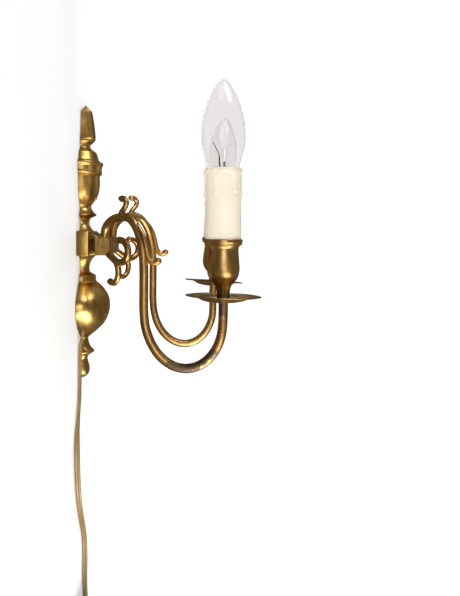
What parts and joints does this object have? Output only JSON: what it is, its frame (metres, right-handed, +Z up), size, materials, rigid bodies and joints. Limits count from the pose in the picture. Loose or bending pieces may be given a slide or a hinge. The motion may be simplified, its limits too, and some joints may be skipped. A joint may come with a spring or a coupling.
{
  "type": "wall sconce candle holder",
  "caption": "Two-arm brass wall sconce: half-baluster backplate, S-curved arms with scrolls, drip pans, cups and electric candles with clear flame bulbs, on a plug-in cord.",
  "frame": {"origin": "centre of the flat back of the backplate's block, on the wall", "axes": "+Z up, -Y straight out of the wall, X along the wall"},
  "size_m": [0.2126, 0.1574, 0.564],
  "materials": {
    "cast_brass": "aged antique brass, worn bright on the high spots, brown in the hollows",
    "arm_brass": "browner aged brass with grey-black oxidised patches",
    "pan_brass": "thin spun brass, dark at the edge",
    "cup_brass": "satin aged brass",
    "steel": "plain steel",
    "nickel": "nickel plate",
    "terminal_brass": "plain brass screws",
    "terminal_plastic": "moulded terminal strip",
    "lampholder_plastic": "moulded phenolic",
    "ivory_wax": "ivory candle sleeve with moulded drips, satin",
    "bulb_insulator": "black glass base with a solder contact",
    "clear_glass": "clear, very slightly tinted",
    "lead_wire": "bulb mount and filament wire",
    "wire_plastic": "insulated wire",
    "gold_cord": "translucent gold flat twin cord",
    "plug_plastic": "moulded gold-brown plug",
    "dark_plastic": "dark moulded plastic"
  },
  "bodies": {
    "sconce": {"backplate": "cast_brass", "hanger_strap": "steel", "hanger_screw_lower": "steel", "hanger_screw_upper": "steel", "terminal_block": "terminal_plastic", "hub": "cast_brass", "terminal_screw_left": "terminal_brass", "hub_bolt_left": "steel", "arm_left": "arm_brass", "arm_wire_left": "wire_plastic", "scroll_left": "arm_brass", "top_leaf_left": "arm_brass", "side_leaf_left": "arm_brass", "drip_pan_left": "pan_brass", "candle_cup_left": "cup_brass", "nipple_left": "steel", "cup_nut_left": "steel", "lampholder_left": "lampholder_plastic", "screw_shell_left": "nickel", "centre_contact_left": "nickel", "terminal_screw_right": "terminal_brass", "hub_bolt_right": "steel", "arm_right": "arm_brass", "arm_wire_right": "wire_plastic", "scroll_right": "arm_brass", "top_leaf_right": "arm_brass", "side_leaf_right": "arm_brass", "drip_pan_right": "pan_brass", "candle_cup_right": "cup_brass", "nipple_right": "steel", "cup_nut_right": "steel", "lampholder_right": "lampholder_plastic", "screw_shell_right": "nickel", "centre_contact_right": "nickel", "cord_bush": "dark_plastic", "cord_lead": "gold_cord", "cord_coil": "gold_cord", "cord_tie": "dark_plastic", "cord_tail": "gold_cord", "plug_body": "plug_plastic", "plug_pin_left": "nickel", "plug_pin_right": "nickel"},
    "sleeve_left": {"candle_sleeve_left": "ivory_wax"},
    "sleeve_right": {"candle_sleeve_right": "ivory_wax"},
    "bulb_left": {"bulb_contact_left": "bulb_insulator", "bulb_cap_left": "nickel", "bulb_glass_left": "clear_glass", "bulb_stem_left": "clear_glass", "filament_left": "lead_wire"},
    "bulb_right": {"bulb_contact_right": "bulb_insulator", "bulb_cap_right": "nickel", "bulb_glass_right": "clear_glass", "bulb_stem_right": "clear_glass", "filament_right": "lead_wire"}
  },
  "joints": [
    {"name": "sleeve_left_turn", "type": "hinge", "parent": "sconce", "child": "sleeve_left", "pos_m": [-0.076, -0.1265, 0.03], "axis": [0, 0, 1], "continuous": true},
    {"name": "bulb_left_unscrew", "type": "slide", "parent": "sconce", "child": "bulb_left", "axis": [0, 0, 1], "range_m": [0, 0.022]},
    {"name": "sleeve_right_turn", "type": "hinge", "parent": "sconce", "child": "sleeve_right", "pos_m": [0.076, -0.13179, 0.02982], "axis": [0, -0.0698, 0.9976], "continuous": true},
    {"name": "bulb_right_unscrew", "type": "slide", "parent": "sconce", "child": "bulb_right", "axis": [0, -0.0698, 0.9976], "range_m": [0, 0.022]}
  ]
}
